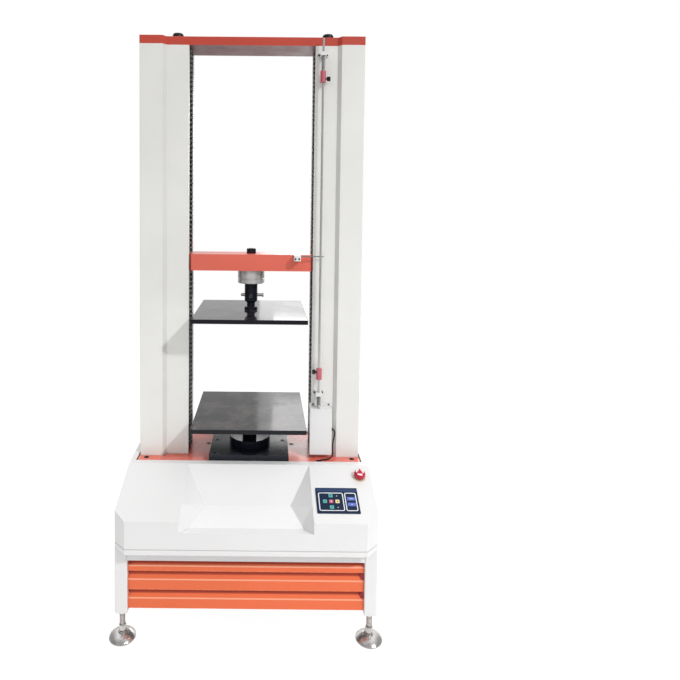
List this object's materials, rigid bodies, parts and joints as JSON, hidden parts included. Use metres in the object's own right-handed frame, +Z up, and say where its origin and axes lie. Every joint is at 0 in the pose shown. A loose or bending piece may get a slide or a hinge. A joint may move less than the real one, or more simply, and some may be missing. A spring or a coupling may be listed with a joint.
{
  "type": "universal testing machine",
  "caption": "Twin-column screw-driven testing machine: a crosshead with load cell and square platens on a louvred stand.",
  "frame": {"origin": "on the floor under the middle of the footprint", "axes": "+X to the right seen from the front, +Y to the back, +Z up"},
  "size_m": [0.885, 0.59, 2.027],
  "materials": {
    "white_paint": "semi-gloss",
    "red_paint": "semi-gloss",
    "orange_paint": "semi-gloss",
    "stainless": "polished",
    "ground_steel": "ground and oiled",
    "black_steel": "black oxide",
    "blued_plate": "blued and oiled",
    "bright_steel": "polished",
    "bellows_black": "matte",
    "belt_rubber": "matte",
    "cable_black": "satin",
    "black_plastic": "satin",
    "motor_grey": "satin",
    "drive_alloy": "ribbed",
    "bronze": "turned",
    "red_collar": "anodised",
    "keypad_navy": "satin",
    "key_teal": "satin",
    "key_pink": "satin",
    "key_cream": "satin",
    "key_blue": "satin",
    "stop_red": "gloss",
    "stop_ring": "satin"
  },
  "bodies": {
    "frame": {"foot_lock_nuts": "stainless", "stand_frame": "white_paint", "louvre_panel": "orange_paint", "base_frame": "black_steel", "base_plate": "red_paint", "front_cover": "white_paint", "side_covers": "white_paint", "rear_cover": "white_paint", "motor_drive": "drive_alloy", "drive_motor": "motor_grey", "drive_belt": "belt_rubber", "sync_belt": "belt_rubber", "screw_bearings": "ground_steel", "screw_caps": "black_plastic", "guide_posts": "bright_steel", "left_column": "white_paint", "right_column": "white_paint", "upper_bellows": "bellows_black", "lower_bellows": "bellows_black", "top_beam": "red_paint", "rod_brackets": "white_paint", "rod_springs": "stainless", "switch_box": "white_paint", "switch_cable": "cable_black", "lower_platen": "blued_plate", "pedestal": "black_steel", "adapter_plate": "black_steel", "table_bolts": "black_steel", "keypad_panel": "keypad_navy", "emergency_stop_base": "stop_ring"},
    "crosshead": {"crosshead": "red_paint", "ball_nuts": "ground_steel", "guide_bushes": "bronze", "load_cell_bolt": "black_steel", "load_cell": "stainless", "coupling_sleeve": "black_steel", "platen_stem": "black_steel", "upper_platen": "blued_plate", "limit_finger": "white_paint"},
    "coupling_pin": {"coupling_pin": "bright_steel"},
    "left_screw": {"left_screw": "ground_steel"},
    "right_screw": {"right_screw": "ground_steel"},
    "drive_pulley": {"drive_pulley": "ground_steel"},
    "limit_rod": {"limit_rod": "bright_steel"},
    "upper_collar": {"upper_collar": "red_collar"},
    "lower_collar": {"lower_collar": "red_collar"},
    "upper_collar_screw": {"upper_collar_screw": "black_plastic"},
    "lower_collar_screw": {"lower_collar_screw": "black_plastic"},
    "emergency_stop": {"emergency_stop_head": "stop_red"},
    "key_up": {"key_up": "key_teal"},
    "key_left": {"key_left": "key_teal"},
    "key_stop": {"key_stop": "key_pink"},
    "key_right": {"key_right": "key_cream"},
    "key_down": {"key_down": "key_teal"},
    "key_fast": {"key_fast": "key_blue"},
    "key_slow": {"key_slow": "key_blue"},
    "foot_front_left": {"foot_front_left": "stainless"},
    "foot_front_right": {"foot_front_right": "stainless"},
    "foot_rear_left": {"foot_rear_left": "stainless"},
    "foot_rear_right": {"foot_rear_right": "stainless"}
  },
  "joints": [
    {"name": "crosshead_slide", "type": "slide", "parent": "frame", "child": "crosshead", "axis": [0, 0, 1], "range_m": [-0.36, 0.48], "deforming": ["upper_bellows", "lower_bellows"]},
    {"name": "left_screw_turn", "type": "hinge", "parent": "frame", "child": "left_screw", "pos_m": [-0.274, 0.095, 0.488], "axis": [0, 0, 1], "continuous": true},
    {"name": "right_screw_turn", "type": "hinge", "parent": "frame", "child": "right_screw", "pos_m": [0.274, 0.095, 0.488], "axis": [0, 0, 1], "continuous": true},
    {"name": "drive_pulley_turn", "type": "hinge", "parent": "frame", "child": "drive_pulley", "pos_m": [0, 0.095, 0.39], "axis": [0, 0, 1], "continuous": true},
    {"name": "coupling_pin_slide", "type": "slide", "parent": "crosshead", "child": "coupling_pin", "axis": [1, 0, 0], "range_m": [0, 0.1]},
    {"name": "limit_rod_slide", "type": "slide", "parent": "frame", "child": "limit_rod", "axis": [0, 0, 1], "range_m": [-0.006, 0.006], "stiffness_N_per_m": 4000, "springref_m": 0.0018, "deforming": ["rod_springs"]},
    {"name": "upper_collar_slide", "type": "slide", "parent": "limit_rod", "child": "upper_collar", "axis": [0, 0, 1], "range_m": [-0.12, 0]},
    {"name": "lower_collar_slide", "type": "slide", "parent": "limit_rod", "child": "lower_collar", "axis": [0, 0, 1], "range_m": [-0.035, 0.025]},
    {"name": "upper_collar_screw_turn", "type": "hinge", "parent": "upper_collar", "child": "upper_collar_screw", "pos_m": [0.26, 0.005, 1.8497], "axis": [1, 0, 0], "range_deg": [0, 360]},
    {"name": "lower_collar_screw_turn", "type": "hinge", "parent": "lower_collar", "child": "lower_collar_screw", "pos_m": [0.24, 0.005, 0.805], "axis": [1, 0, 0], "range_deg": [0, 360]},
    {"name": "emergency_stop_push", "type": "slide", "parent": "frame", "child": "emergency_stop", "axis": [0, 0.3211, -0.947], "range_m": [0, 0.005], "stiffness_N_per_m": 2000},
    {"name": "key_up_push", "type": "slide", "parent": "frame", "child": "key_up", "axis": [0, 0.3211, -0.947], "range_m": [0, 0.0008], "stiffness_N_per_m": 400},
    {"name": "key_left_push", "type": "slide", "parent": "frame", "child": "key_left", "axis": [0, 0.3211, -0.947], "range_m": [0, 0.0008], "stiffness_N_per_m": 400},
    {"name": "key_stop_push", "type": "slide", "parent": "frame", "child": "key_stop", "axis": [0, 0.3211, -0.947], "range_m": [0, 0.0008], "stiffness_N_per_m": 400},
    {"name": "key_right_push", "type": "slide", "parent": "frame", "child": "key_right", "axis": [0, 0.3211, -0.947], "range_m": [0, 0.0008], "stiffness_N_per_m": 400},
    {"name": "key_down_push", "type": "slide", "parent": "frame", "child": "key_down", "axis": [0, 0.3211, -0.947], "range_m": [0, 0.0008], "stiffness_N_per_m": 400},
    {"name": "key_fast_push", "type": "slide", "parent": "frame", "child": "key_fast", "axis": [0, 0.3211, -0.947], "range_m": [0, 0.0008], "stiffness_N_per_m": 400},
    {"name": "key_slow_push", "type": "slide", "parent": "frame", "child": "key_slow", "axis": [0, 0.3211, -0.947], "range_m": [0, 0.0008], "stiffness_N_per_m": 400},
    {"name": "foot_front_left_level", "type": "slide", "parent": "frame", "child": "foot_front_left", "axis": [0, 0, -1], "range_m": [0, 0.03]},
    {"name": "foot_front_right_level", "type": "slide", "parent": "frame", "child": "foot_front_right", "axis": [0, 0, -1], "range_m": [0, 0.03]},
    {"name": "foot_rear_left_level", "type": "slide", "parent": "frame", "child": "foot_rear_left", "axis": [0, 0, -1], "range_m": [0, 0.03]},
    {"name": "foot_rear_right_level", "type": "slide", "parent": "frame", "child": "foot_rear_right", "axis": [0, 0, -1], "range_m": [0, 0.03]}
  ],
  "couplings": [
    {"joint": "left_screw_turn", "follows": "crosshead_slide", "rad_per_m": -628.32},
    {"joint": "right_screw_turn", "follows": "crosshead_slide", "rad_per_m": -628.32},
    {"joint": "drive_pulley_turn", "follows": "crosshead_slide", "rad_per_m": -1047.2}
  ]
}
